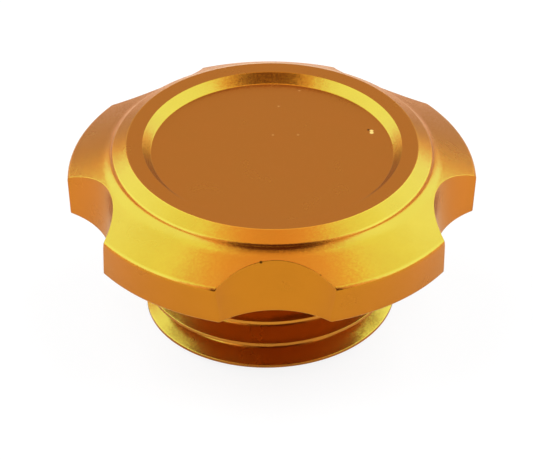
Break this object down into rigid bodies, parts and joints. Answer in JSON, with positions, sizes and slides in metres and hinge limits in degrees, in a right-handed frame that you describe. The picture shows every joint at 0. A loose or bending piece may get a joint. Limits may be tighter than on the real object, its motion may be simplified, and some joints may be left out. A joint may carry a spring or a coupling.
{
  "type": "oil filler cap",
  "caption": "Lobed metal screw cap with a shallow round recess on top, a coarse external thread on a hollow stem and a rubber seal ring under the head.",
  "frame": {"origin": "centre of the sealing face under the head, on the cap's axis", "axes": "+Z along the axis and out of the filler neck, -Y towards the middle of one finger scallop"},
  "size_m": [0.0684, 0.0669, 0.0325],
  "materials": {
    "anodised_aluminium": "bead-blasted and gold anodised, satin",
    "seal_rubber": "smooth moulded nitrile rubber"
  },
  "bodies": {
    "root": {"cap_body": "anodised_aluminium", "seal_ring": "seal_rubber"}
  },
  "joints": []
}
